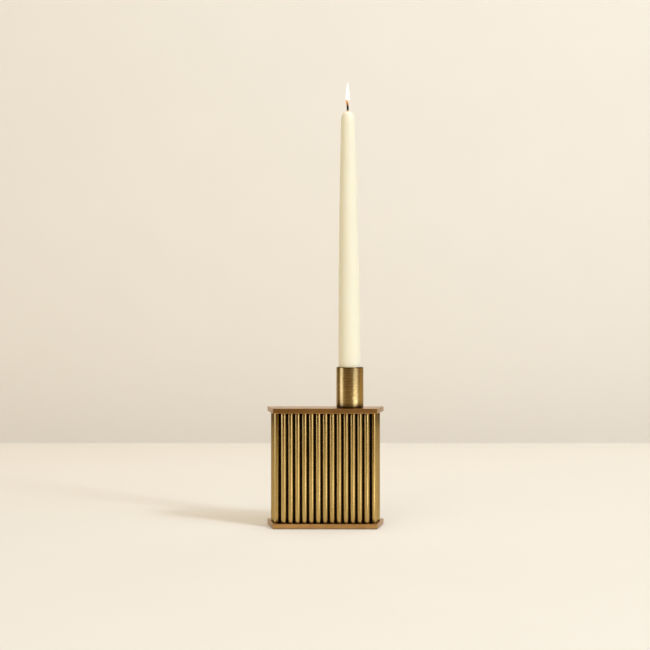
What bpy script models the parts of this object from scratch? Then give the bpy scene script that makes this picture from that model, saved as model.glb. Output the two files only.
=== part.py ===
"""Brass candlestick: a reeded trapezoid block with an offset candle cup and a taper candle.

Metres, +Z up. The front of the block faces -Y and the wider back faces +Y. The origin is on
the floor, under the middle of the block.
"""

import math

import bmesh
import bpy

MM = 0.001
FIT = 0.3 * MM  # clearance left between two pieces that touch

# Levels, from the floor up
PAD_PROUD = 0.4 * MM  # the felt stands this far out of the base plate
BASE_BOTTOM = PAD_PROUD
BASE_TOP = BASE_BOTTOM + 5.0 * MM
TOP_BOTTOM = BASE_TOP + 110.3 * MM
TOP_TOP = TOP_BOTTOM + 5.0 * MM
CUP_TOP = TOP_TOP + 41.2 * MM

# Plan of the two plates: a trapezoid, wider at the back
PLATE_FRONT_HALF = 52.15 * MM
PLATE_BACK_HALF = 59.75 * MM
PLATE_HALF_DEPTH = 20.0 * MM
PLATE_BEVEL = 0.35 * MM
SIDE_SLOPE = (PLATE_BACK_HALF - PLATE_FRONT_HALF) / (2.0 * PLATE_HALF_DEPTH)
SIDE_ANGLE = math.atan(SIDE_SLOPE)

# Rods
ROD_R = 2.75 * MM
ROD_PITCH = 6.95 * MM
SIDE_PITCH = 7.4 * MM
ROD_STEPS = 20
ROD_EDGE = 0.25 * MM
PIN_R = 1.3 * MM
PIN_LENGTH = 1.8 * MM
FRONT_ROD_COUNT = 13
BACK_ROD_COUNT = 14
SIDE_ROD_COUNT = 4
ROW_Y = 13.4 * MM  # rod axes of the front and back rows, each way from the middle
SIDE_FIRST_X = 48.85 * MM
SIDE_FIRST_Y = -9.0 * MM

# Sleeve behind the rods
SLEEVE_WALL = 1.2 * MM
SLEEVE_CORNER = 2.0 * MM
SLEEVE_CORNER_STEPS = 4

# Felt let into the underside
PAD_MARGIN = 3.5 * MM
PAD_RECESS = 1.0 * MM
PAD_THICKNESS = 1.1 * MM

# Countersunk tie bolts
BOLT_R = 2.0 * MM
BOLT_HEAD_R = 3.9 * MM
BOLT_X = 38.0 * MM
BOLT_Y = 5.0 * MM
BOLT_STEPS = 16
BOLT_SOCKET_R = 1.45 * MM
BOLT_SOCKET_DEPTH = 1.3 * MM
BOLT_HOLE_DEPTH = 3.2 * MM

# Candle cup and the screw that holds it
CUP_X = 24.9 * MM
CUP_R = 13.75 * MM
CUP_BORE_R = 11.85 * MM
CUP_BORE_DEPTH = 28.0 * MM
CUP_RIM = 1.0 * MM
CUP_FOOT = 0.5 * MM
CUP_STEPS = 40
BOSS_R = 5.0 * MM
BOSS_LENGTH = 2.2 * MM
BOSS_POCKET_DEPTH = 2.5 * MM
SCREW_R = 2.5 * MM
SCREW_HEAD_R = 4.4 * MM
SCREW_HEAD_HEIGHT = 2.6 * MM
SCREW_REACH = 7.0 * MM  # how far the screw goes up into the cup

# Candle and wick
CANDLE_SEAT = CUP_TOP - CUP_BORE_DEPTH + FIT
CANDLE_X = CUP_X - 0.32 * MM
CANDLE_LEAN = math.radians(0.37)  # the top leans towards -X
CANDLE_LENGTH = 286.3 * MM
CANDLE_R = 11.05 * MM
CANDLE_FOOT = 0.6 * MM
CANDLE_STEPS = 28
TAPER_START = 14.5 * MM  # height above the seat where the candle starts to narrow
TAPER_DROP = 4.35 * MM  # how much less its radius is at the top
TAPER_POWER = 1.87
SHOULDER_START = 269.5 * MM
SHOULDER_POWER = 4.0
CANDLE_ROWS = (0.0, 0.2, 0.36, 0.5, 0.62, 0.73, 0.83, 0.91, 0.955, 0.976, 0.988, 0.995)
DISH_DEPTH = 0.7 * MM
DISH_R = 2.6 * MM
WICK_R = 0.8 * MM
WICK_HOLE_R = 1.15 * MM
WICK_END = (  # (sideways, height above the top of the candle) of the free end
    (0.0, 3.2 * MM),
    (-0.15 * MM, 6.2 * MM),
    (-0.6 * MM, 9.4 * MM),
    (-1.4 * MM, 12.4 * MM),
)

COLLECTION = "brass_candlestick"
CUTTERS = "brass_candlestick_cutters"


def clear_scene():
    for obj in list(bpy.data.objects):
        bpy.data.objects.remove(obj, do_unlink=True)


def make_collection(name):
    collection = bpy.data.collections.new(name)
    bpy.context.scene.collection.children.link(collection)
    return collection


def make_material(name, colour, roughness, metallic):
    material = bpy.data.materials.new(name)
    material.use_nodes = True
    shader = material.node_tree.nodes["Principled BSDF"]
    shader.inputs["Base Color"].default_value = (*colour, 1.0)
    shader.inputs["Roughness"].default_value = roughness
    shader.inputs["Metallic"].default_value = metallic
    return material


def add_object(name, mesh, material, collection):
    obj = bpy.data.objects.new(name, mesh)
    collection.objects.link(obj)
    mesh.name = name
    mesh.materials.clear()
    if material is not None:
        mesh.materials.append(material)
    return obj


def settle(obj):
    """Replaces an object's mesh with the one its modifiers make."""
    depsgraph = bpy.context.evaluated_depsgraph_get()
    mesh = bpy.data.meshes.new_from_object(obj.evaluated_get(depsgraph))
    work = bmesh.new()
    work.from_mesh(mesh)
    bmesh.ops.remove_doubles(work, verts=work.verts, dist=1e-6)
    bmesh.ops.recalc_face_normals(work, faces=work.faces)
    work.to_mesh(mesh)
    work.free()
    obj.modifiers.clear()
    obj.data = mesh
    mesh.name = obj.name


def soften(obj, angle=math.radians(35.0)):
    for polygon in obj.data.polygons:
        polygon.use_smooth = True
    obj.data.set_sharp_from_angle(angle=angle)


def turned(name, profile, steps, material, collection):
    """A closed solid of revolution about its own Z from (radius, height) points."""
    mesh = bpy.data.meshes.new(name)
    points = [(radius, 0.0, height) for radius, height in profile]
    on_axis = profile[0][0] == 0.0 and profile[-1][0] == 0.0
    edges = [(i, i + 1) for i in range(len(points) - 1)]
    if not on_axis:
        edges.append((len(points) - 1, 0))
    mesh.from_pydata(points, edges, [])
    obj = add_object(name, mesh, material, collection)
    screw = obj.modifiers.new("Screw", "SCREW")
    screw.axis = "Z"
    screw.angle = 2.0 * math.pi
    screw.steps = steps
    screw.render_steps = steps
    screw.use_merge_vertices = True
    screw.merge_threshold = 0.00001
    settle(obj)
    soften(obj)
    return obj


def slab(name, outline, bottom, top, material, collection):
    """A flat piece with a straight wall round a plan outline."""
    curve = bpy.data.curves.new(name, "CURVE")
    curve.dimensions = "2D"
    curve.fill_mode = "BOTH"
    curve.extrude = (top - bottom) / 2.0
    spline = curve.splines.new("POLY")
    spline.points.add(len(outline) - 1)
    for point, (x, y) in zip(spline.points, outline):
        point.co = (x, y, 0.0, 1.0)
    spline.use_cyclic_u = True
    flat = bpy.data.objects.new(name, curve)
    collection.objects.link(flat)
    depsgraph = bpy.context.evaluated_depsgraph_get()
    mesh = bpy.data.meshes.new_from_object(flat.evaluated_get(depsgraph))
    bpy.data.objects.remove(flat, do_unlink=True)
    bpy.data.curves.remove(curve)
    work = bmesh.new()
    work.from_mesh(mesh)
    bmesh.ops.remove_doubles(work, verts=work.verts, dist=1e-6)
    bmesh.ops.translate(work, verts=work.verts, vec=(0.0, 0.0, (top + bottom) / 2.0))
    bmesh.ops.dissolve_limit(
        work, angle_limit=math.radians(1.0), verts=work.verts, edges=work.edges
    )
    bmesh.ops.recalc_face_normals(work, faces=work.faces)
    work.to_mesh(mesh)
    work.free()
    return add_object(name, mesh, material, collection)


def trapezoid(inset_side, inset_ends):
    """The plates' plan outline, moved inwards."""
    half_depth = PLATE_HALF_DEPTH - inset_ends
    shift = inset_side / math.cos(SIDE_ANGLE)
    middle = (PLATE_FRONT_HALF + PLATE_BACK_HALF) / 2.0 - shift
    front = middle - SIDE_SLOPE * half_depth
    back = middle + SIDE_SLOPE * half_depth
    return [(-front, -half_depth), (front, -half_depth), (back, half_depth), (-back, half_depth)]


def rounded(outline, radius, steps):
    """A convex outline with each corner turned into an arc."""
    result = []
    count = len(outline)
    for i in range(count):
        before = outline[i - 1]
        corner = outline[i]
        after = outline[(i + 1) % count]
        angle_in = math.atan2(corner[1] - before[1], corner[0] - before[0])
        angle_out = math.atan2(after[1] - corner[1], after[0] - corner[0])
        turn = (angle_out - angle_in) % (2.0 * math.pi)
        back_off = radius * math.tan(turn / 2.0)
        start_x = corner[0] - back_off * math.cos(angle_in)
        start_y = corner[1] - back_off * math.sin(angle_in)
        centre_x = start_x - radius * math.sin(angle_in)
        centre_y = start_y + radius * math.cos(angle_in)
        for step in range(steps + 1):
            angle = angle_in - math.pi / 2.0 + turn * step / steps
            result.append(
                (centre_x + radius * math.cos(angle), centre_y + radius * math.sin(angle))
            )
    return result


def hole_cutter(work, x, y, bottom, top, radius_bottom, radius_top, steps):
    """Adds one straight or tapered plug to a cutter mesh."""
    made = bmesh.ops.create_cone(
        work,
        cap_ends=True,
        segments=steps,
        radius1=radius_bottom,
        radius2=radius_top,
        depth=top - bottom,
    )
    bmesh.ops.translate(work, verts=made["verts"], vec=(x, y, (top + bottom) / 2.0))


def as_cutter(obj):
    obj.hide_render = True
    obj.display_type = "WIRE"
    return obj


def finish_cutter(name, work, collection):
    mesh = bpy.data.meshes.new(name)
    work.to_mesh(mesh)
    work.free()
    return as_cutter(add_object(name, mesh, None, collection))


def cut(obj, cutter):
    boolean = obj.modifiers.new("Boolean", "BOOLEAN")
    boolean.operation = "DIFFERENCE"
    boolean.solver = "EXACT"
    boolean.object = cutter
    settle(obj)


def bevel(obj, width):
    modifier = obj.modifiers.new("Bevel", "BEVEL")
    modifier.width = width
    modifier.segments = 2
    modifier.limit_method = "ANGLE"
    modifier.angle_limit = math.radians(40.0)
    settle(obj)


def rod_places():
    """(name, x, y) of every rod, row by row."""
    places = []
    for i in range(FRONT_ROD_COUNT):
        x = (i - (FRONT_ROD_COUNT - 1) / 2.0) * ROD_PITCH
        places.append((f"front_rod_{i + 1:02d}", x, -ROW_Y))
    for i in range(BACK_ROD_COUNT):
        x = (i - (BACK_ROD_COUNT - 1) / 2.0) * ROD_PITCH
        places.append((f"back_rod_{i + 1:02d}", x, ROW_Y))
    for side, word in ((-1.0, "left"), (1.0, "right")):
        for i in range(SIDE_ROD_COUNT):
            x = SIDE_FIRST_X + i * SIDE_PITCH * math.sin(SIDE_ANGLE)
            y = SIDE_FIRST_Y + i * SIDE_PITCH * math.cos(SIDE_ANGLE)
            places.append((f"{word}_rod_{i + 1}", side * x, y))
    return places


def bolt_places():
    return [
        ("tie_bolt_1", -BOLT_X, -BOLT_Y),
        ("tie_bolt_2", BOLT_X, -BOLT_Y),
        ("tie_bolt_3", -BOLT_X, BOLT_Y),
        ("tie_bolt_4", BOLT_X, BOLT_Y),
    ]


def build_rods(material, collection):
    low = BASE_TOP + FIT
    high = TOP_BOTTOM - FIT
    profile = [
        (0.0, high + PIN_LENGTH),
        (PIN_R, high + PIN_LENGTH),
        (PIN_R, high),
        (ROD_R - ROD_EDGE, high),
        (ROD_R, high - ROD_EDGE),
        (ROD_R, low + ROD_EDGE),
        (ROD_R - ROD_EDGE, low),
        (PIN_R, low),
        (PIN_R, low - PIN_LENGTH),
        (0.0, low - PIN_LENGTH),
    ]
    for name, x, y in rod_places():
        rod = turned(name, profile, ROD_STEPS, material, collection)
        rod.location = (x, y, 0.0)


def build_plates(material, collection, cutters):
    outline = trapezoid(0.0, 0.0)
    base = slab("base_plate", outline, BASE_BOTTOM, BASE_TOP, material, collection)
    bevel(base, PLATE_BEVEL)
    recess = slab(
        "cut_felt_recess",
        trapezoid(PAD_MARGIN, PAD_MARGIN),
        BASE_BOTTOM - 1.0 * MM,
        BASE_BOTTOM + PAD_RECESS,
        None,
        cutters,
    )
    cut(base, as_cutter(recess))
    work = bmesh.new()
    for _, x, y in rod_places():
        hole_cutter(
            work, x, y, BASE_TOP - PIN_LENGTH, BASE_TOP + MM, PIN_R + FIT, PIN_R + FIT, ROD_STEPS
        )
    for _, x, y in bolt_places():
        hole_cutter(
            work, x, y, BASE_BOTTOM, BASE_TOP + MM, BOLT_R + FIT, BOLT_R + FIT, BOLT_STEPS
        )
    cut(base, finish_cutter("cut_base_holes", work, cutters))
    work = bmesh.new()
    floor = BASE_BOTTOM + PAD_RECESS
    for _, x, y in bolt_places():
        drop = 0.5 * MM
        hole_cutter(
            work,
            x,
            y,
            floor - drop,
            floor + BOLT_HEAD_R - BOLT_R + FIT,
            BOLT_HEAD_R + 1.5 * FIT + drop,
            BOLT_R + 0.5 * FIT,
            BOLT_STEPS,
        )
    cut(base, finish_cutter("cut_countersinks", work, cutters))
    soften(base)

    top = slab("top_plate", outline, TOP_BOTTOM, TOP_TOP, material, collection)
    bevel(top, PLATE_BEVEL)
    work = bmesh.new()
    for _, x, y in rod_places():
        hole_cutter(
            work, x, y, TOP_BOTTOM - MM, TOP_BOTTOM + PIN_LENGTH, PIN_R + FIT, PIN_R + FIT, ROD_STEPS
        )
    for _, x, y in bolt_places():
        hole_cutter(
            work,
            x,
            y,
            TOP_BOTTOM - MM,
            TOP_BOTTOM + BOLT_HOLE_DEPTH + FIT,
            BOLT_R + FIT,
            BOLT_R + FIT,
            BOLT_STEPS,
        )
    hole_cutter(
        work,
        CUP_X,
        0.0,
        TOP_BOTTOM - MM,
        TOP_TOP + MM,
        SCREW_R + FIT,
        SCREW_R + FIT,
        BOLT_STEPS,
    )
    cut(top, finish_cutter("cut_top_holes", work, cutters))
    work = bmesh.new()
    hole_cutter(
        work,
        CUP_X,
        0.0,
        TOP_TOP - BOSS_POCKET_DEPTH,
        TOP_TOP + MM,
        BOSS_R + FIT,
        BOSS_R + FIT,
        2 * BOLT_STEPS,
    )
    cut(top, finish_cutter("cut_cup_pocket", work, cutters))
    soften(top)


def build_sleeve(material, collection, cutters):
    rod_inner = SIDE_FIRST_X * math.cos(SIDE_ANGLE) - SIDE_FIRST_Y * math.sin(SIDE_ANGLE) - ROD_R
    plate_edge = (
        PLATE_FRONT_HALF * math.cos(SIDE_ANGLE) + PLATE_HALF_DEPTH * math.sin(SIDE_ANGLE)
    )
    side = plate_edge - rod_inner + FIT
    ends = PLATE_HALF_DEPTH - (ROW_Y - ROD_R - FIT)
    outer = rounded(trapezoid(side, ends), SLEEVE_CORNER, SLEEVE_CORNER_STEPS)
    inner = rounded(
        trapezoid(side + SLEEVE_WALL, ends + SLEEVE_WALL),
        SLEEVE_CORNER - SLEEVE_WALL,
        SLEEVE_CORNER_STEPS,
    )
    sleeve = slab(
        "inner_sleeve", outer, BASE_TOP + FIT, TOP_BOTTOM - FIT, material, collection
    )
    hollow = slab("cut_sleeve_inside", inner, BASE_TOP - MM, TOP_BOTTOM + MM, None, cutters)
    cut(sleeve, as_cutter(hollow))
    soften(sleeve)


def build_felt(material, collection):
    margin = PAD_MARGIN + FIT
    slab("felt_pad", trapezoid(margin, margin), 0.0, PAD_THICKNESS, material, collection)


def build_bolts(material, collection, cutters):
    head = BASE_BOTTOM + PAD_RECESS + 0.1 * MM
    tip = TOP_BOTTOM + BOLT_HOLE_DEPTH
    profile = [
        (0.0, tip),
        (BOLT_R - 0.4 * MM, tip),
        (BOLT_R, tip - 0.4 * MM),
        (BOLT_R, head + BOLT_HEAD_R - BOLT_R),
        (BOLT_HEAD_R, head),
        (0.0, head),
    ]
    for name, x, y in bolt_places():
        bolt = turned(name, profile, BOLT_STEPS, material, collection)
        work = bmesh.new()
        hole_cutter(
            work,
            0.0,
            0.0,
            head - MM,
            head + BOLT_SOCKET_DEPTH,
            BOLT_SOCKET_R,
            BOLT_SOCKET_R,
            6,
        )
        cut(bolt, finish_cutter(f"cut_socket_{name}", work, cutters))
        soften(bolt)
        bolt.location = (x, y, 0.0)


def build_cup(material, collection):
    seat = TOP_TOP + FIT
    floor = CUP_TOP - CUP_BORE_DEPTH
    hole_top = TOP_TOP + SCREW_REACH + FIT
    profile = [
        (0.0, floor),
        (CUP_BORE_R - 0.6 * MM, floor),
        (CUP_BORE_R, floor + 0.6 * MM),
        (CUP_BORE_R, CUP_TOP - 0.3 * MM),
        (CUP_BORE_R + 0.3 * MM, CUP_TOP),
        (CUP_R - CUP_RIM, CUP_TOP),
        (CUP_R - 0.38 * CUP_RIM, CUP_TOP - 0.08 * CUP_RIM),
        (CUP_R - 0.08 * CUP_RIM, CUP_TOP - 0.38 * CUP_RIM),
        (CUP_R, CUP_TOP - CUP_RIM),
        (CUP_R, seat + CUP_FOOT),
        (CUP_R - CUP_FOOT, seat),
        (BOSS_R, seat),
        (BOSS_R, TOP_TOP - BOSS_LENGTH),
        (SCREW_R + FIT, TOP_TOP - BOSS_LENGTH),
        (SCREW_R + FIT, hole_top),
        (0.0, hole_top),
    ]
    cup = turned("candle_cup", profile, CUP_STEPS, material, collection)
    cup.location = (CUP_X, 0.0, 0.0)


def build_cup_screw(material, collection):
    under = TOP_BOTTOM - FIT
    profile = [
        (0.0, TOP_TOP + SCREW_REACH),
        (SCREW_R - 0.4 * MM, TOP_TOP + SCREW_REACH),
        (SCREW_R, TOP_TOP + SCREW_REACH - 0.4 * MM),
        (SCREW_R, under),
        (SCREW_HEAD_R, under),
        (SCREW_HEAD_R, under - 0.6 * SCREW_HEAD_HEIGHT),
        (0.75 * SCREW_HEAD_R, under - SCREW_HEAD_HEIGHT),
        (0.5 * SCREW_HEAD_R, under - SCREW_HEAD_HEIGHT),
        (0.45 * SCREW_HEAD_R, under - 0.5 * SCREW_HEAD_HEIGHT),
        (0.0, under - 0.5 * SCREW_HEAD_HEIGHT),
    ]
    screw = turned("cup_screw", profile, BOLT_STEPS, material, collection)
    screw.location = (CUP_X, 0.0, 0.0)


def candle_radius(height):
    """Radius of the taper at a height above its seat."""
    along = max(0.0, (height - TAPER_START) / (CANDLE_LENGTH - TAPER_START))
    shoulder = max(0.0, (height - SHOULDER_START) / (CANDLE_LENGTH - SHOULDER_START))
    body = CANDLE_R - TAPER_DROP * along**TAPER_POWER
    return body * (1.0 - shoulder**SHOULDER_POWER) ** (1.0 / SHOULDER_POWER)


def build_candle(wax, cotton, collection):
    heights = [TAPER_START + (CANDLE_LENGTH - TAPER_START) * row for row in CANDLE_ROWS]
    profile = [(WICK_HOLE_R, CANDLE_LENGTH - DISH_DEPTH), (DISH_R, CANDLE_LENGTH)]
    profile += [(candle_radius(height), height) for height in reversed(heights)]
    profile += [
        (CANDLE_R, CANDLE_FOOT),
        (CANDLE_R - CANDLE_FOOT, 0.0),
        (WICK_HOLE_R, 0.0),
    ]
    candle = turned("taper_candle", profile, CANDLE_STEPS, wax, collection)

    curve = bpy.data.curves.new("wick", "CURVE")
    curve.dimensions = "3D"
    curve.bevel_depth = WICK_R
    curve.bevel_resolution = 1
    curve.use_fill_caps = True
    spline = curve.splines.new("POLY")
    path = [(0.0, FIT)]
    path += [(x, CANDLE_LENGTH + height) for x, height in WICK_END]
    spline.points.add(len(path) - 1)
    for point, (x, z) in zip(spline.points, path):
        point.co = (x, 0.0, z, 1.0)
    cord = bpy.data.objects.new("wick_curve", curve)
    collection.objects.link(cord)
    depsgraph = bpy.context.evaluated_depsgraph_get()
    mesh = bpy.data.meshes.new_from_object(cord.evaluated_get(depsgraph))
    bpy.data.objects.remove(cord, do_unlink=True)
    bpy.data.curves.remove(curve)
    wick = add_object("wick", mesh, cotton, collection)
    settle(wick)
    soften(wick)

    for piece in (candle, wick):
        piece.location = (CANDLE_X, 0.0, CANDLE_SEAT)
        piece.rotation_euler = (0.0, -CANDLE_LEAN, 0.0)


def main():
    clear_scene()
    collection = make_collection(COLLECTION)
    cutters = make_collection(CUTTERS)
    cutters.hide_render = True

    plate_brass = make_material("plate_brass", (0.42, 0.27, 0.11), 0.34, 1.0)
    rod_brass = make_material("rod_brass", (0.55, 0.39, 0.17), 0.24, 1.0)
    cup_brass = make_material("cup_brass", (0.50, 0.34, 0.14), 0.28, 1.0)
    blackened = make_material("blackened_steel", (0.012, 0.010, 0.009), 0.6, 0.0)
    steel = make_material("bolt_steel", (0.45, 0.45, 0.46), 0.35, 1.0)
    felt = make_material("felt", (0.035, 0.030, 0.026), 0.95, 0.0)
    wax = make_material("ivory_wax", (0.86, 0.79, 0.60), 0.45, 0.0)
    cotton = make_material("wick_cotton", (0.05, 0.035, 0.025), 0.9, 0.0)

    build_plates(plate_brass, collection, cutters)
    build_rods(rod_brass, collection)
    build_sleeve(blackened, collection, cutters)
    build_felt(felt, collection)
    build_bolts(steel, collection, cutters)
    build_cup(cup_brass, collection)
    build_cup_screw(steel, collection)
    build_candle(wax, cotton, collection)


main()
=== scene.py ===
"""Looks of the brass candlestick: drawn, brushed and turned brass, wax, felt and a lit wick.

Metres, +Z up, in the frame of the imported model. The narrow front of the block faces -Y.
"""

import math

import bmesh
import bpy
from mathutils import Matrix, Vector, noise


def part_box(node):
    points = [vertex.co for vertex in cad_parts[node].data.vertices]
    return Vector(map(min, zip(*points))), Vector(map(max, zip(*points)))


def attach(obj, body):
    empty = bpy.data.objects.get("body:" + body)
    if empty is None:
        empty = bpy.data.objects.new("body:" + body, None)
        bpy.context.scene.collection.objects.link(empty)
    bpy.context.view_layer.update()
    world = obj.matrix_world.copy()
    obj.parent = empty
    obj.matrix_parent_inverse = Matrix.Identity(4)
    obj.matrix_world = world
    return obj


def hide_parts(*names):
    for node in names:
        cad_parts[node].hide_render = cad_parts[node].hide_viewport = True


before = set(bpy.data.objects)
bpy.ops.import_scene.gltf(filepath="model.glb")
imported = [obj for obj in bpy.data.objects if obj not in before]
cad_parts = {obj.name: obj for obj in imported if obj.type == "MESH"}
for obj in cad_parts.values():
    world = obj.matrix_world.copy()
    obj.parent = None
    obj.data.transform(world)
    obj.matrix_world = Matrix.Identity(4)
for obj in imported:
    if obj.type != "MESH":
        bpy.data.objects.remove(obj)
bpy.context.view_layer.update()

MM = 0.001
HOLDER = "holder"
CANDLE = "candle"

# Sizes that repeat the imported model
FIT = 0.3 * MM  # clearance between two pieces that touch
PIN_R = 1.3 * MM  # pins that locate a rod in the plates
ROD_EDGE = 0.25 * MM
CUP_BORE_R = 11.85 * MM
CUP_BORE_DEPTH = 28.0 * MM
CUP_BORE_FOOT = 0.6 * MM
CUP_BORE_LIP = 0.3 * MM
CUP_RIM = 1.0 * MM
CUP_FOOT = 0.5 * MM
BOSS_R = 5.0 * MM
SCREW_HOLE_R = 2.5 * MM + FIT
SCREW_REACH = 7.0 * MM  # how far the screw's hole goes up into the cup
CANDLE_OFF_AXIS = 0.32 * MM  # the candle stands a little askew in its cup
CANDLE_LEAN = math.radians(0.37)
CANDLE_LENGTH = 286.3 * MM
CANDLE_R = 11.05 * MM
TAPER_START = 14.5 * MM  # height where the candle starts to narrow
TAPER_DROP = 4.35 * MM
TAPER_POWER = 1.87
SHOULDER_START = 269.5 * MM
SHOULDER_POWER = 4.0
POOL_DEPTH = 0.7 * MM
POOL_R = 2.6 * MM
WICK_END = (  # (sideways, height above the top of the candle) of the free end
    (0.0, 3.2 * MM),
    (-0.15 * MM, 6.2 * MM),
    (-0.6 * MM, 9.4 * MM),
    (-1.4 * MM, 12.4 * MM),
)

# Camera: nearly level, a little to the right of the object's own middle line
CAMERA_DISTANCE = 1.370
CAMERA_HEIGHT = 0.2051
CAMERA_TURN = math.radians(0.47)
CAMERA_SIDE = -0.36 * MM
CAMERA_TILT = math.radians(-0.032)
CAMERA_LENS = 74.8

# Stage
WALL_DISTANCE = 0.932
TABLE_FRONT = -0.62
STAGE_HALF_WIDTH = 1.1
WALL_HEIGHT = 2.6
COVE = 5.0 * MM  # radius where the backdrop turns up from the table
COVE_STEPS = 8
PAPER = (0.875, 0.815, 0.725)
# Painted shade and light: the paper darkens just above the table and grows lighter up the wall
PAPER_SHADE_TONES = tuple(  # the wall is darkest just above the table
    (level, tuple(share * channel for channel in PAPER))
    for level, share in (
        (0.0, 1.0),
        (0.0025, 0.865),
        (0.035, 0.89),
        (0.09, 0.935),
        (0.15, 0.98),
        (0.22, 1.015),
        (0.40, 1.075),
        (0.76, 1.135),
    )
)

# Brass
# Dark colour for tarnish in corners and for painted shade where neighbours shade a surface
TARNISH_AND_SHADE = (0.06, 0.03, 0.01)
# Brown that painted shade mixes in, by height and where a surface is seen at a slant
PAINTED_SHADE_BROWN = (0.10, 0.055, 0.015)
EDGE_TINT = (0.62, 0.50, 0.34, 1.0)  # how the brass darkens where it is seen edge on
MARK_DEPTH = 0.002 * MM
ROUGHNESS_SPREAD = 0.04

# Looks. grain is small along the tool marks and large across them. streaks, spots and relief say
# how much the marks show, how much the darker flecks show, and how deep the marks are. reach and
# open_share say how far tarnish and painted shade spread out of corners, and slant how much painted
# shade darkens the lacquer edge on. A zone of painted shade by height is (height where it starts,
# height where it is full, how dark).
ROD_LOOK = {
    "light": (0.67, 0.47, 0.155),
    "dark": (0.58, 0.385, 0.115),
    "roughness": 0.26,
    "grain": (700.0, 700.0, 5.0),
    "streaks": 0.4,
    "spots": 0.08,
    "relief": 0.35,
    "reach": 3.0 * MM,
    "open_share": 0.7,
    "slant": 0.3,
    "coat": 0.5,
    "coat_rough": 0.18,
}
# A darker copy of the rod brass for the side rods behind each row's first: painted shade
SHADED_SIDE_LOOK = {
    **ROD_LOOK,
    "light": (0.60, 0.41, 0.115),
    "dark": (0.52, 0.335, 0.085),
    "slant": 0.45,
}
PLATE_LOOK = {
    "light": (0.66, 0.365, 0.12),
    "dark": (0.50, 0.26, 0.072),
    "roughness": 0.34,
    "grain": (14.0, 800.0, 800.0),
    "streaks": 0.25,
    "spots": 0.4,
    "relief": 0.35,
    "reach": 3.0 * MM,
    "open_share": 0.6,
    "slant": 0.0,
    "coat": 0.6,
    "coat_rough": 0.18,
}
CUP_LOOK = {
    "light": (0.66, 0.46, 0.16),
    "dark": (0.60, 0.395, 0.12),
    "roughness": 0.29,
    "grain": (30.0, 30.0, 7500.0),
    "streaks": 0.0,
    "spots": 0.2,
    "relief": 0.12,
    "reach": 10.0 * MM,
    "open_share": 0.9,
    "slant": 0.35,
    "coat": 0.5,
    "coat_rough": 0.16,
}

# Lights
ROOM_BROWN = (1.0, 0.50, 0.12)
FILL_CREAM = (1.0, 0.85, 0.58)
SEEN_CREAM = (0.87, 0.79, 0.67)
STRIP_DISTANCE = 1.2
SOFT_WHITE = (1.0, 0.97, 0.92)
COOL_WHITE = (0.86, 1.0, 1.2)
STRIP_WHITE = (0.95, 1.02, 1.14)
EDGE_WHITE = (0.93, 1.05, 1.4)
EDGE_AMBER = (1.0, 0.72, 0.45)

# Fine geometry
ROD_STEPS = 48
ROD_ROWS = 8
ROD_EDGE_STEPS = 4
PIN_EDGE = 0.2 * MM
CUP_STEPS = 128
CUP_ROWS = 24
CUP_FOOT_STEPS = 5
CUP_RIM_STEPS = 7
CUP_LIP_STEPS = 4
BOSS_EDGE = 0.3 * MM  # broken edges of the boss and of the screw's hole
CANDLE_STEPS = 72
CANDLE_ROWS = 90
WAX_SWAY = 0.05 * MM  # how uneven the dipped wax is above the cup
WAX_CLEAR = 2.0 * MM
WICK_ROWS = 60
WICK_STRANDS = 3
WICK_SIDES = 10
WICK_TURNS = 3.5
STRAND_R = 0.60 * MM
STRAND_OFFSET = 0.50 * MM
FLAME_STEPS = 32
FLAME_ROWS = 40
FELT_EDGE = 0.25 * MM


# ---------------------------------------------------------------- mesh helpers


def add_piece(name, vertices, faces, smooth_angle=35.0):
    mesh = bpy.data.meshes.new(name)
    mesh.from_pydata([tuple(v) for v in vertices], [], faces)
    mesh.validate()
    for polygon in mesh.polygons:
        polygon.use_smooth = True
    mesh.set_sharp_from_angle(angle=math.radians(smooth_angle))
    piece = bpy.data.objects.new(name, mesh)
    bpy.context.scene.collection.objects.link(piece)
    return piece


def lathe(profile, steps):
    """Vertices and faces of a closed turned solid from (radius, height) points, bottom to top.

    The first and last points are on the axis.
    """
    vertices = [(0.0, 0.0, profile[0][1])]
    faces = []
    rings = profile[1:-1]
    for radius, height in rings:
        for step in range(steps):
            angle = 2.0 * math.pi * step / steps
            vertices.append((radius * math.cos(angle), radius * math.sin(angle), height))
    vertices.append((0.0, 0.0, profile[-1][1]))
    last = len(vertices) - 1
    for step in range(steps):
        after = (step + 1) % steps
        faces.append((0, 1 + after, 1 + step))
        for ring in range(len(rings) - 1):
            low = 1 + ring * steps
            high = low + steps
            faces.append((low + step, low + after, high + after, high + step))
        top = 1 + (len(rings) - 1) * steps
        faces.append((last, top + step, top + after))
    return vertices, faces


def arc(centre_r, centre_z, radius, start, end, steps):
    """Points of a fillet from one angle to another, in degrees, measured from +R towards +Z."""
    points = []
    for step in range(steps + 1):
        angle = math.radians(start + (end - start) * step / steps)
        points.append((centre_r + radius * math.cos(angle), centre_z + radius * math.sin(angle)))
    return points


def move(vertices, offset):
    return [(x + offset[0], y + offset[1], z + offset[2]) for x, y, z in vertices]


def middle_of(node):
    low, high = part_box(node)
    return (low + high) / 2.0


# ---------------------------------------------------------------- node helpers


def new_material(name):
    material = bpy.data.materials.new(name)
    material.use_nodes = True
    tree = material.node_tree
    return material, tree, tree.nodes["Principled BSDF"]


def noise_value(tree, scale, detail=3.0, roughness=0.55):
    """Noise with its own scale along each axis."""
    coordinate = tree.nodes.new("ShaderNodeTexCoord")
    mapping = tree.nodes.new("ShaderNodeMapping")
    mapping.inputs["Scale"].default_value = scale
    tree.links.new(coordinate.outputs["Object"], mapping.inputs["Vector"])
    texture = tree.nodes.new("ShaderNodeTexNoise")
    texture.inputs["Scale"].default_value = 1.0
    texture.inputs["Detail"].default_value = detail
    texture.inputs["Roughness"].default_value = roughness
    tree.links.new(mapping.outputs["Vector"], texture.inputs["Vector"])
    return texture.outputs["Fac"]


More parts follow.
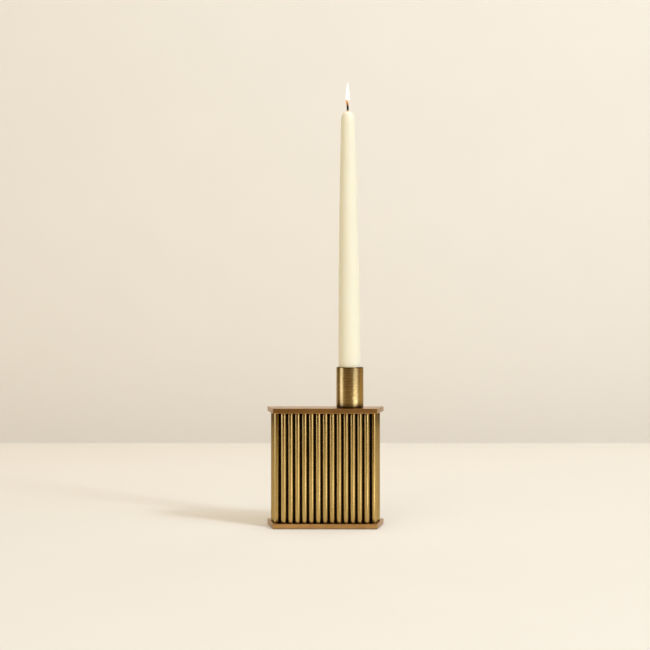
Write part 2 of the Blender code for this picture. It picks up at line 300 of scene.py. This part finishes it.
def height_value(tree, source="Object"):
    """Height in metres in the piece's own frame, or as a share of its box from Generated."""
    coordinate = tree.nodes.new("ShaderNodeTexCoord")
    split = tree.nodes.new("ShaderNodeSeparateXYZ")
    tree.links.new(coordinate.outputs[source], split.inputs["Vector"])
    return split.outputs["Z"]


def ranged(tree, value, from_low, from_high, to_low, to_high):
    node = tree.nodes.new("ShaderNodeMapRange")
    node.inputs["From Min"].default_value = from_low
    node.inputs["From Max"].default_value = from_high
    node.inputs["To Min"].default_value = to_low
    node.inputs["To Max"].default_value = to_high
    tree.links.new(value, node.inputs["Value"])
    return node.outputs["Result"]


def mixed(tree, factor, colour_a, colour_b):
    node = tree.nodes.new("ShaderNodeMix")
    node.data_type = "RGBA"
    for socket, colour in ((node.inputs[6], colour_a), (node.inputs[7], colour_b)):
        if isinstance(colour, tuple):
            socket.default_value = (*colour, 1.0)
        else:
            tree.links.new(colour, socket)
    tree.links.new(factor, node.inputs["Factor"])
    return node.outputs[2]


def ramped(tree, value, stops):
    """A colour that follows a value: (position, colour) stops, lowest first."""
    ramp = tree.nodes.new("ShaderNodeValToRGB")
    elements = ramp.color_ramp.elements
    while len(elements) < len(stops):
        elements.new(0.5)
    for element, (position, colour) in zip(elements, stops):
        element.position = position
        element.color = (*colour, 1.0)
    tree.links.new(value, ramp.inputs["Fac"])
    return ramp.outputs["Color"]


def mixed_shaders(tree, factor, shader_a, shader_b):
    node = tree.nodes.new("ShaderNodeMixShader")
    tree.links.new(factor, node.inputs["Fac"])
    tree.links.new(shader_a, node.inputs[1])
    tree.links.new(shader_b, node.inputs[2])
    return node.outputs["Shader"]


def bumped(tree, height, strength, distance):
    node = tree.nodes.new("ShaderNodeBump")
    node.inputs["Strength"].default_value = strength
    node.inputs["Distance"].default_value = distance
    tree.links.new(height, node.inputs["Height"])
    return node.outputs["Normal"]


# ---------------------------------------------------------------- materials


def slant_painted_shade(tree, colour, depth):
    """Painted shade: the colour darkens where the surface is seen at a slant, which dims the reflections
    on the flanks.
    """
    slant = tree.nodes.new("ShaderNodeLayerWeight")
    slant.inputs["Blend"].default_value = 0.5
    factor = ranged(tree, slant.outputs["Facing"], 0.25, 0.8, 0.0, depth)
    return mixed(tree, factor, colour, PAINTED_SHADE_BROWN)


def painted_shade_by_height(tree, colour, start, end, depth):
    """Painted shade: the colour turns darker and browner from one height to another."""
    factor = ranged(tree, height_value(tree), start, end, 0.0, depth)
    return mixed(tree, factor, colour, PAINTED_SHADE_BROWN)


def tarnish_and_painted_shade(tree, colour, reach, open_share):
    """Darkens where a surface is hemmed in by its neighbours, out to a distance: tarnish in the corners,
    and painted shade where the neighbours shade it.
    """
    corners = tree.nodes.new("ShaderNodeAmbientOcclusion")
    corners.samples = 8
    corners.inputs["Distance"].default_value = reach
    clean_and_unshaded = ranged(tree, corners.outputs["AO"], 0.25, open_share, 0.0, 1.0)
    return mixed(tree, clean_and_unshaded, TARNISH_AND_SHADE, colour)


def brass(name, look):
    """Aged, lacquered brass with fine tool marks, tarnish and painted shade in corners, and painted shade
    by height and where seen at a slant.
    """
    material, tree, shader = new_material(name)
    fleck_colour = tuple(0.5 * channel for channel in look["dark"])
    streak_colour = tuple(0.7 * channel for channel in look["dark"])
    clouds = noise_value(tree, (38.0, 38.0, 24.0), detail=4.0)
    spots = noise_value(tree, (240.0, 240.0, 180.0), detail=3.0)
    marks = noise_value(tree, look["grain"], detail=2.0, roughness=0.5)
    patches = ranged(tree, clouds, 0.36, 0.68, 0.0, 1.0)
    flecks = ranged(tree, spots, 0.6, 0.8, 0.0, look["spots"])
    streaks = ranged(tree, marks, 0.4, 0.75, 0.0, look["streaks"])
    shade = mixed(tree, patches, look["light"], look["dark"])
    shade = mixed(tree, flecks, shade, fleck_colour)
    shade = mixed(tree, streaks, shade, streak_colour)
    for zone in look.get("painted_shade_by_height", ()):
        shade = painted_shade_by_height(tree, shade, *zone)
    shade = slant_painted_shade(tree, shade, look["slant"])
    shade = tarnish_and_painted_shade(tree, shade, look["reach"], look["open_share"])
    tree.links.new(shade, shader.inputs["Base Color"])
    shader.inputs["Metallic"].default_value = 1.0
    smoothest = look["roughness"] - ROUGHNESS_SPREAD
    roughest = look["roughness"] + ROUGHNESS_SPREAD
    rough = ranged(tree, marks, 0.3, 0.7, smoothest, roughest)
    tree.links.new(rough, shader.inputs["Roughness"])
    tree.links.new(bumped(tree, marks, look["relief"], MARK_DEPTH), shader.inputs["Normal"])
    shader.inputs["Specular Tint"].default_value = EDGE_TINT
    shader.inputs["Coat Weight"].default_value = look["coat"]
    shader.inputs["Coat Roughness"].default_value = look["coat_rough"]
    return material


def dark_steel():
    material, tree, shader = new_material("blackened_sheet")
    clouds = noise_value(tree, (60.0, 60.0, 40.0))
    patches = ranged(tree, clouds, 0.35, 0.65, 0.0, 1.0)
    colour = mixed(tree, patches, (0.006, 0.004, 0.003), (0.012, 0.009, 0.006))
    tree.links.new(colour, shader.inputs["Base Color"])
    tree.links.new(ranged(tree, clouds, 0.3, 0.7, 0.55, 0.75), shader.inputs["Roughness"])
    shader.inputs["Specular IOR Level"].default_value = 0.2
    return material


def bolt_steel():
    material, tree, shader = new_material("zinc_steel")
    clouds = noise_value(tree, (300.0, 300.0, 300.0))
    patches = ranged(tree, clouds, 0.35, 0.65, 0.0, 1.0)
    colour = mixed(tree, patches, (0.52, 0.52, 0.53), (0.36, 0.36, 0.37))
    tree.links.new(colour, shader.inputs["Base Color"])
    shader.inputs["Metallic"].default_value = 1.0
    tree.links.new(ranged(tree, clouds, 0.3, 0.7, 0.28, 0.45), shader.inputs["Roughness"])
    return material


def wool_felt():
    material, tree, shader = new_material("wool_felt")
    fibres = noise_value(tree, (1600.0, 1600.0, 1600.0), detail=5.0, roughness=0.7)
    tufts = noise_value(tree, (260.0, 260.0, 260.0), detail=3.0)
    flecks = ranged(tree, fibres, 0.3, 0.7, 0.0, 1.0)
    colour = mixed(tree, flecks, (0.022, 0.019, 0.016), (0.07, 0.06, 0.05))
    tree.links.new(colour, shader.inputs["Base Color"])
    shader.inputs["Roughness"].default_value = 0.95
    shader.inputs["Sheen Weight"].default_value = 0.4
    tree.links.new(bumped(tree, tufts, 0.6, 0.2 * MM), shader.inputs["Normal"])
    return material


def ivory_wax():
    material, tree, shader = new_material("ivory_wax")
    clouds = noise_value(tree, (45.0, 45.0, 14.0), detail=3.0)
    patches = ranged(tree, clouds, 0.35, 0.65, 0.0, 1.0)
    colour = mixed(tree, patches, (0.91, 0.875, 0.72), (0.89, 0.85, 0.69))
    tree.links.new(colour, shader.inputs["Base Color"])
    handling = noise_value(tree, (120.0, 120.0, 60.0), detail=3.0)
    tree.links.new(ranged(tree, handling, 0.3, 0.7, 0.36, 0.5), shader.inputs["Roughness"])
    shader.inputs["Subsurface Weight"].default_value = 0.35
    shader.inputs["Subsurface Radius"].default_value = (1.0, 0.75, 0.4)
    shader.inputs["Subsurface Scale"].default_value = 4.0 * MM
    # Painted light: the wax glows a little, more towards the top, to lift its shaded side and stand in
    # for light through the wax near the flame
    up = ranged(tree, height_value(tree), 0.0, CANDLE_LENGTH, 0.0, 1.0)
    painted_glow = mixed(tree, up, (0.085, 0.066, 0.022), (0.15, 0.12, 0.07))
    tree.links.new(painted_glow, shader.inputs["Emission Color"])
    shader.inputs["Emission Strength"].default_value = 1.0
    ripple = noise_value(tree, (70.0, 70.0, 18.0), detail=2.0)
    tree.links.new(bumped(tree, ripple, 0.3, 0.15 * MM), shader.inputs["Normal"])
    return material


def charred_wick(bottom, top):
    """Dark cotton that glows towards its tip, between two heights in the candle's own frame."""
    material, tree, shader = new_material("charred_wick")
    height = ranged(tree, height_value(tree), bottom, top, 0.0, 1.0)
    cotton = (
        (0.0, (0.75, 0.50, 0.25)),
        (0.12, (0.60, 0.38, 0.17)),
        (0.24, (0.014, 0.008, 0.004)),
        (0.5, (0.014, 0.007, 0.004)),
        (1.0, (0.20, 0.05, 0.01)),
    )
    tree.links.new(ramped(tree, height, cotton), shader.inputs["Base Color"])
    shader.inputs["Roughness"].default_value = 0.9
    shader.inputs["Specular IOR Level"].default_value = 0.1
    ember = ((0.46, (0.0, 0.0, 0.0)), (0.95, (0.85, 0.30, 0.03)))
    tree.links.new(ramped(tree, height, ember), shader.inputs["Emission Color"])
    shader.inputs["Emission Strength"].default_value = 1.1
    return material


def flame_material(name, colours, alphas, strength):
    """Light with no surface of its own. Colours and alphas go up the flame's height."""
    material = bpy.data.materials.new(name)
    material.use_nodes = True
    tree = material.node_tree
    tree.nodes.clear()
    height = height_value(tree, source="Generated")
    greys = [(position, (alpha, alpha, alpha)) for position, alpha in alphas]
    light = tree.nodes.new("ShaderNodeEmission")
    tree.links.new(ramped(tree, height, colours), light.inputs["Color"])
    light.inputs["Strength"].default_value = strength
    clear = tree.nodes.new("ShaderNodeBsdfTransparent")
    output = tree.nodes.new("ShaderNodeOutputMaterial")
    alpha = ramped(tree, height, greys)
    flame = mixed_shaders(tree, alpha, clear.outputs["BSDF"], light.outputs["Emission"])
    tree.links.new(flame, output.inputs["Surface"])
    return material


def give(piece, material):
    piece.data.materials.clear()
    piece.data.materials.append(material)


# ---------------------------------------------------------------- pieces


def shade_cad(node, material):
    """A CAD node whose shape is right: soft shading and its material."""
    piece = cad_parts[node]
    for polygon in piece.data.polygons:
        polygon.use_smooth = True
    piece.data.set_sharp_from_angle(angle=math.radians(30.0))
    give(piece, material)


def build_rods(material, shaded_side_material):
    """Every rod, by its node's name. The side rods behind each row's first get a darker copy of the
    brass, painted shade.
    """
    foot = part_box("base_plate")[1].z + FIT
    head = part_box("top_plate")[0].z - FIT
    straight_low = foot + ROD_EDGE
    straight_high = head - ROD_EDGE
    rods = {}
    for node in sorted(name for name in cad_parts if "_rod_" in name):
        low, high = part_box(node)
        radius = (high.x - low.x) / 2.0
        profile = [
            (0.0, low.z),
            (PIN_R - PIN_EDGE, low.z),
            (PIN_R, low.z + PIN_EDGE),
            (PIN_R, foot),
        ]
        profile += arc(radius - ROD_EDGE, straight_low, ROD_EDGE, -90.0, 0.0, ROD_EDGE_STEPS)
        for row in range(1, ROD_ROWS):
            height = straight_low + (straight_high - straight_low) * row / ROD_ROWS
            profile.append((radius, height))
        profile += arc(radius - ROD_EDGE, straight_high, ROD_EDGE, 0.0, 90.0, ROD_EDGE_STEPS)
        profile += [
            (PIN_R, head),
            (PIN_R, high.z - PIN_EDGE),
            (PIN_R - PIN_EDGE, high.z),
            (0.0, high.z),
        ]
        vertices, faces = lathe(profile, ROD_STEPS)
        middle = (low + high) / 2.0
        piece = add_piece(f"{node}_drawn", move(vertices, (middle.x, middle.y, 0.0)), faces)
        hidden = node.startswith(("left", "right")) and not node.endswith("_1")
        give(piece, shaded_side_material if hidden else material)
        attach(piece, HOLDER)
        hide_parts(node)
        rods[node] = piece
    return rods


def build_cup(material):
    low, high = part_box("candle_cup")
    radius = (high.x - low.x) / 2.0
    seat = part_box("top_plate")[1].z + FIT
    floor = high.z - CUP_BORE_DEPTH
    hole_top = seat + SCREW_REACH
    wall_low = seat + CUP_FOOT
    wall_high = high.z - CUP_RIM
    lip = CUP_BORE_LIP
    profile = [
        (0.0, hole_top),
        (SCREW_HOLE_R - BOSS_EDGE, hole_top),
        (SCREW_HOLE_R, hole_top - BOSS_EDGE),
        (SCREW_HOLE_R, low.z),
        (BOSS_R - BOSS_EDGE, low.z),
        (BOSS_R, low.z + BOSS_EDGE),
        (BOSS_R, seat),
    ]
    profile += arc(radius - CUP_FOOT, wall_low, CUP_FOOT, -90.0, 0.0, CUP_FOOT_STEPS)
    for row in range(1, CUP_ROWS):
        profile.append((radius, wall_low + (wall_high - wall_low) * row / CUP_ROWS))
    profile += arc(radius - CUP_RIM, wall_high, CUP_RIM, 0.0, 90.0, CUP_RIM_STEPS)
    profile += arc(CUP_BORE_R + lip, high.z - lip, lip, 90.0, 180.0, CUP_LIP_STEPS)
    profile += [
        (CUP_BORE_R, floor + CUP_BORE_FOOT),
        (CUP_BORE_R - CUP_BORE_FOOT, floor),
        (0.0, floor),
    ]
    vertices, faces = lathe(profile, CUP_STEPS)
    middle = (low + high) / 2.0
    piece = add_piece("candle_cup_turned", move(vertices, (middle.x, middle.y, 0.0)), faces)
    give(piece, material)
    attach(piece, HOLDER)
    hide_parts("candle_cup")
    return piece


def candle_frame():
    """Where the candle's foot stands and how it leans."""
    cup = middle_of("candle_cup")
    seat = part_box("candle_cup")[1].z - CUP_BORE_DEPTH + FIT
    place = Matrix.Translation((cup.x - CANDLE_OFF_AXIS, cup.y, seat))
    return place @ Matrix.Rotation(-CANDLE_LEAN, 4, "Y")


def candle_radius(height):
    """Radius of the taper at a height above its foot."""
    along = max(0.0, (height - TAPER_START) / (CANDLE_LENGTH - TAPER_START))
    shoulder = max(0.0, (height - SHOULDER_START) / (CANDLE_LENGTH - SHOULDER_START))
    body = CANDLE_R - TAPER_DROP * along**TAPER_POWER
    return body * max(0.0, 1.0 - shoulder**SHOULDER_POWER) ** (1.0 / SHOULDER_POWER)


def build_candle(material):
    profile = [(0.0, 0.0), (CANDLE_R - 0.6 * MM, 0.0), (CANDLE_R - 0.15 * MM, 0.2 * MM)]
    first = 1.0 * MM
    for row in range(CANDLE_ROWS):
        share = row / (CANDLE_ROWS - 1)
        height = first + (CANDLE_LENGTH - first) * (1.0 - (1.0 - share) ** 1.8)
        radius = candle_radius(height)
        if radius > POOL_R + 0.5 * MM:
            profile.append((radius, height))
    profile += [
        (POOL_R + 0.4 * MM, CANDLE_LENGTH - 0.03 * MM),
        (POOL_R, CANDLE_LENGTH - 0.12 * MM),
        (POOL_R - 0.4 * MM, CANDLE_LENGTH - 0.38 * MM),
        (POOL_R - 1.0 * MM, CANDLE_LENGTH - 0.6 * MM),
        (1.1 * MM, CANDLE_LENGTH - POOL_DEPTH),
        (1.0 * MM, CANDLE_LENGTH - POOL_DEPTH - 2.4 * MM),
        (0.0, CANDLE_LENGTH - POOL_DEPTH - 2.5 * MM),
    ]
    vertices, faces = lathe(profile, CANDLE_STEPS)
    waxy = []
    for vertex in vertices:
        point = Vector(vertex)
        outward = Vector((point.x, point.y, 0.0))
        if outward.length > POOL_R and point.z > CUP_BORE_DEPTH + WAX_CLEAR:
            sway = noise.noise(Vector((point.x * 60.0, point.y * 60.0, point.z * 22.0)))
            point += outward.normalized() * (WAX_SWAY * sway)
        waxy.append(point)
    piece = add_piece("taper_candle_wax", waxy, faces)
    piece.matrix_world = candle_frame()
    give(piece, material)
    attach(piece, CANDLE)
    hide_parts("taper_candle")


def wick_path():
    """Centre points of the wick's free end, in the candle's own frame."""
    start = CANDLE_LENGTH - POOL_DEPTH - 2.0 * MM
    points = [Vector((0.0, 0.0, start)), Vector((0.0, 0.0, CANDLE_LENGTH))]
    points += [Vector((x, 0.0, CANDLE_LENGTH + height)) for x, height in WICK_END]
    return points


def smooth_path(points, count):
    """Catmull-Rom samples through the points."""
    result = []
    spans = len(points) - 1
    for i in range(count):
        at = spans * i / (count - 1)
        span = min(int(at), spans - 1)
        t = at - span
        before = points[max(span - 1, 0)]
        start = points[span]
        end = points[span + 1]
        after = points[min(span + 2, spans)]
        result.append(
            0.5
            * (
                2.0 * start
                + (end - before) * t
                + (2.0 * before - 5.0 * start + 4.0 * end - after) * t**2
                + (3.0 * start - before - 3.0 * end + after) * t**3
            )
        )
    return result


def build_wick():
    """Three cotton strands twisted together."""
    path = smooth_path(wick_path(), WICK_ROWS)
    last = WICK_ROWS - 1
    sides = WICK_SIDES
    vertices = []
    faces = []
    for strand in range(WICK_STRANDS):
        base = len(vertices)
        for i, point in enumerate(path):
            share = i / last
            along = (path[min(i + 1, last)] - path[max(i - 1, 0)]).normalized()
            across = along.cross(Vector((0.0, 1.0, 0.0))).normalized()
            beside = along.cross(across).normalized()
            phase = 2.0 * math.pi * (WICK_TURNS * share + strand / WICK_STRANDS)
            narrow = 1.0 - 0.35 * max(0.0, (share - 0.8) / 0.2) ** 2
            outward = across * math.cos(phase) + beside * math.sin(phase)
            centre = point + outward * STRAND_OFFSET * narrow
            for side in range(sides):
                angle = 2.0 * math.pi * side / sides
                ray = across * math.cos(angle) + beside * math.sin(angle)
                vertices.append(centre + ray * STRAND_R * narrow)
        for ring in range(last):
            for side in range(sides):
                after = (side + 1) % sides
                low = base + ring * sides
                high = low + sides
                faces.append((low + side, low + after, high + after, high + side))
        faces.append(tuple(base + side for side in reversed(range(sides))))
        faces.append(tuple(base + last * sides + side for side in range(sides)))
    piece = add_piece("wick_twist", vertices, faces, smooth_angle=60.0)
    bottom = CANDLE_LENGTH - POOL_DEPTH
    give(piece, charred_wick(bottom, CANDLE_LENGTH + WICK_END[-1][1]))
    piece.matrix_world = candle_frame()
    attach(piece, CANDLE)
    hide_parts("wick")


def flame_shell(name, bottom, height, width, material):
    """A teardrop of light, round in plan."""
    profile = [(0.0, 0.0)]
    for row in range(1, FLAME_ROWS):
        share = row / FLAME_ROWS
        swell = math.sin(math.pi * share**0.6) ** 0.62 * (1.0 - 0.25 * share)
        profile.append((width / 2.0 * swell, height * share))
    profile.append((0.0, height))
    vertices, faces = lathe(profile, FLAME_STEPS)
    piece = add_piece(name, move(vertices, (0.0, 0.0, bottom)), faces, smooth_angle=180.0)
    give(piece, material)
    piece.matrix_world = candle_frame()
    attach(piece, CANDLE)


def build_flame():
    """A white core that closes over the wick's glowing end, in a faint outer veil."""
    core = flame_material(
        "flame_core_light",
        (
            (0.0, (1.0, 0.75, 0.42)),
            (0.16, (1.0, 0.88, 0.66)),
            (0.28, (1.0, 1.0, 0.98)),
            (0.9, (1.0, 1.0, 0.98)),
            (1.0, (1.0, 0.97, 0.9)),
        ),
        ((0.0, 0.0), (0.1, 0.05), (0.17, 0.12), (0.27, 0.95), (0.9, 1.0), (1.0, 0.8)),
        1.25,
    )
    veil = flame_material(
        "flame_veil_light",
        ((0.0, (1.0, 0.93, 0.82)), (0.5, (1.0, 0.96, 0.88)), (1.0, (1.0, 0.96, 0.88))),
        ((0.0, 0.0), (0.25, 0.04), (0.5, 0.14), (1.0, 0.08)),
        1.0,
    )
    flame_shell("flame_core", CANDLE_LENGTH + 7.2 * MM, 22.8 * MM, 4.3 * MM, core)
    flame_shell("flame_veil", CANDLE_LENGTH + 6.2 * MM, 24.8 * MM, 6.4 * MM, veil)


def build_felt(material):
    """The felt with its edges rounded."""
    work = bmesh.new()
    work.from_mesh(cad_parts["felt_pad"].data)
    bmesh.ops.remove_doubles(work, verts=work.verts, dist=1e-6)
    bmesh.ops.dissolve_limit(
        work, angle_limit=math.radians(1.0), verts=work.verts, edges=work.edges
    )
    bmesh.ops.bevel(
        work,
        geom=list(work.edges),
        offset=FELT_EDGE,
        segments=3,
        affect="EDGES",
        profile=0.5,
    )
    mesh = bpy.data.meshes.new("felt_pad_soft")
    work.to_mesh(mesh)
    work.free()
    for polygon in mesh.polygons:
        polygon.use_smooth = True
    mesh.set_sharp_from_angle(angle=math.radians(50.0))
    piece = bpy.data.objects.new("felt_pad_soft", mesh)
    bpy.context.scene.collection.objects.link(piece)
    give(piece, material)
    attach(piece, HOLDER)
    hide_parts("felt_pad")


# ---------------------------------------------------------------- stage and light


def paper(name, tones):
    """Matt paper whose colour follows its height, painted shade and light on the wall: (height, colour)
    stops, table first.
    """
    material, tree, shader = new_material(name)
    top = tones[-1][0]
    height = ranged(tree, height_value(tree), 0.0, top, 0.0, 1.0)
    plain = ramped(tree, height, [(level / top, colour) for level, colour in tones])
    clouds = noise_value(tree, (9.0, 9.0, 9.0), detail=5.0)
    mottled = mixed(tree, ranged(tree, clouds, 0.3, 0.7, 0.0, 0.03), plain, (0.6, 0.53, 0.44))
    tree.links.new(mottled, shader.inputs["Base Color"])
    shader.inputs["Roughness"].default_value = 0.9
    shader.inputs["Specular IOR Level"].default_value = 0.1
    return material


def one_sided(material):
    """Seen from behind, the surface is not there."""
    tree = material.node_tree
    shader = tree.nodes["Principled BSDF"]
    output = next(n for n in tree.nodes if n.type == "OUTPUT_MATERIAL")
    side = tree.nodes.new("ShaderNodeNewGeometry")
    clear = tree.nodes.new("ShaderNodeBsdfTransparent")
    sides = mixed_shaders(
        tree, side.outputs["Backfacing"], shader.outputs["BSDF"], clear.outputs["BSDF"]
    )
    tree.links.new(sides, output.inputs["Surface"])


def softbox(
    name,
    azimuth,
    distance,
    height,
    size,
    power,
    colour,
    aim=(0.0, 0.0, 0.12),
    diffuse=True,
    glossy=True,
):
    """A rectangular light. Azimuth 0 is in front of the object, and positive is to its right."""
    data = bpy.data.lights.new(name, "AREA")
    data.shape = "RECTANGLE"
    data.size = size[0]
    data.size_y = size[1]
    data.energy = power
    data.color = colour
    lamp = bpy.data.objects.new(name, data)
    bpy.context.scene.collection.objects.link(lamp)
    angle = math.radians(azimuth)
    place = Vector((math.sin(angle) * distance, -math.cos(angle) * distance, height))
    lamp.location = place
    lamp.rotation_euler = (Vector(aim) - place).to_track_quat("-Z", "Y").to_euler()
    lamp.visible_camera = False
    lamp.visible_diffuse = diffuse
    lamp.visible_glossy = glossy
    return lamp


def background(tree, colour, strength):
    node = tree.nodes.new("ShaderNodeBackground")
    node.inputs["Color"].default_value = (*colour, 1.0)
    node.inputs["Strength"].default_value = strength
    return node.outputs["Background"]


def build_world():
    """Pale light on matt surfaces, a dim brown room in the brass, cream where nothing stands."""
    world = bpy.data.worlds.new("studio")
    world.use_nodes = True
    tree = world.node_tree
    tree.nodes.clear()
    room = background(tree, ROOM_BROWN, 0.105)
    fill = background(tree, FILL_CREAM, 0.30)
    seen = background(tree, SEEN_CREAM, 1.0)
    path = tree.nodes.new("ShaderNodeLightPath")
    output = tree.nodes.new("ShaderNodeOutputWorld")
    lit = mixed_shaders(tree, path.outputs["Diffuse Depth"], room, fill)
    shown = mixed_shaders(tree, path.outputs["Is Camera Ray"], lit, seen)
    tree.links.new(shown, output.inputs["Surface"])
    bpy.context.scene.world = world


def build_stage():
    """One sheet of paper: the table, a tight cove and the wall behind."""
    outline = [(TABLE_FRONT, 0.0)]
    outline += arc(WALL_DISTANCE - COVE, COVE, COVE, -90.0, 0.0, COVE_STEPS)
    outline.append((WALL_DISTANCE, WALL_HEIGHT))
    vertices = []
    for y, z in outline:
        vertices += [(-STAGE_HALF_WIDTH, y, z), (STAGE_HALF_WIDTH, y, z)]
    faces = [(2 * i, 2 * i + 1, 2 * i + 3, 2 * i + 2) for i in range(len(outline) - 1)]
    sheet = add_piece("backdrop", vertices, faces)
    sheet.rotation_euler = (0.0, 0.0, CAMERA_TURN)
    sheet_paper = paper("backdrop_paper", PAPER_SHADE_TONES)
    one_sided(sheet_paper)
    give(sheet, sheet_paper)
    return sheet


def light_on(pieces, *lamps):
    """The lamps fall on these pieces and on nothing else."""
    for lamp in lamps:
        group = bpy.data.collections.new(f"{lamp.name}_falls_on")
        for piece in pieces:
            group.objects.link(piece)
        lamp.light_linking.receiver_collection = group


def build_lights(cup, rods, sheet):
    """Lights for the whole scene, then strips that only some of the brass mirrors.

    The last one is the light that the front of the block throws back on the table.
    """
    softbox("overhead", 0.0, 0.7, 5.8, (5.2, 4.4), 112.0, SOFT_WHITE, aim=(0.0, 0.4, 0.0))
    softbox("front_fill", -10.0, 4.6, 3.0, (4.8, 2.4), 68.0, SOFT_WHITE, glossy=False)
    softbox("key", 50.0, 2.8, 2.24, (0.5, 0.5), 35.0, COOL_WHITE)
    softbox("right_fill", 55.0, 3.4, 3.0, (2.0, 1.6), 37.0, COOL_WHITE, glossy=False)
    light_on(
        [rods[node] for node in rods if not node.startswith("left")],
        softbox("right_strip", 40.0, STRIP_DISTANCE, 0.30, (0.55, 0.66), 2.8, STRIP_WHITE, diffuse=False),
        softbox("right_low", 40.0, 0.2, 0.014, (0.08, 0.022), 0.018, STRIP_WHITE, diffuse=False),
    )
    light_on(
        [rods["left_rod_1"], *(rods[node] for node in rods if node.startswith("front"))],
        softbox("left_strip", -83.0, STRIP_DISTANCE, 0.36, (0.6, 0.9), 4.6, EDGE_WHITE, diffuse=False),
    )
    light_on(
        [cup],
        softbox("cup_left", -77.0, STRIP_DISTANCE, 0.42, (0.6, 0.9), 3.6, EDGE_WHITE, diffuse=False),
        softbox("cup_strip", 50.5, STRIP_DISTANCE, 0.30, (0.8, 0.66), 1.7, EDGE_WHITE, diffuse=False),
        softbox("cup_low", 50.5, 0.25, 0.05, (0.13, 0.06), 0.3, EDGE_WHITE, diffuse=False),
        softbox("cup_edge", 110.0, STRIP_DISTANCE, 0.40, (0.7, 0.8), 0.75, EDGE_AMBER, diffuse=False),
    )
    light_on(
        [sheet],
        softbox("bounce", 0.0, 0.075, 0.10, (0.13, 0.02), 0.014, SOFT_WHITE, aim=(0.0, -0.06, 0.0)),
    )


def build_camera():
    data = bpy.data.cameras.new("camera")
    data.lens = CAMERA_LENS
    data.sensor_width = 36.0
    data.clip_start = 0.05
    data.clip_end = 50.0
    camera = bpy.data.objects.new("camera", data)
    bpy.context.scene.collection.objects.link(camera)
    turn = Matrix.Rotation(CAMERA_TURN, 4, "Z")
    camera.location = turn @ Vector((CAMERA_SIDE, -CAMERA_DISTANCE, CAMERA_HEIGHT))
    camera.rotation_euler = (math.radians(90.0) + CAMERA_TILT, 0.0, CAMERA_TURN)
    bpy.context.scene.camera = camera


def main():
    bpy.context.scene.view_settings.view_transform = "Standard"
    build_world()
    sheet = build_stage()
    build_camera()

    rod_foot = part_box("base_plate")[1].z
    cup_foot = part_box("top_plate")[1].z
    cup_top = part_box("candle_cup")[1].z
    # Painted shade by height: the rods darker towards their foot, the cup darker towards its top, at its
    # rim and at its foot
    rod_shade_zones = ((rod_foot + 60.0 * MM, rod_foot, 0.2),)
    cup_shade_zones = (
        (cup_top - 22.0 * MM, cup_top, 0.25),
        (cup_top - 1.5 * MM, cup_top - 0.6 * MM, 0.7),
        (cup_foot + 5.5 * MM, cup_foot + 1.0 * MM, 0.65),
    )
    rod_brass = brass("drawn_brass", {**ROD_LOOK, "painted_shade_by_height": rod_shade_zones})
    plate_brass = brass("brushed_brass", PLATE_LOOK)
    shaded_side_brass = brass("shaded_side_brass", SHADED_SIDE_LOOK)
    cup_brass = brass("turned_brass", {**CUP_LOOK, "painted_shade_by_height": cup_shade_zones})
    shade_cad("base_plate", plate_brass)
    shade_cad("top_plate", plate_brass)
    shade_cad("inner_sleeve", dark_steel())
    steel = bolt_steel()
    for node in ("tie_bolt_1", "tie_bolt_2", "tie_bolt_3", "tie_bolt_4", "cup_screw"):
        shade_cad(node, steel)
    rods = build_rods(rod_brass, shaded_side_brass)
    cup = build_cup(cup_brass)
    build_candle(ivory_wax())
    build_wick()
    build_flame()
    build_felt(wool_felt())
    build_lights(cup, rods, sheet)


main()
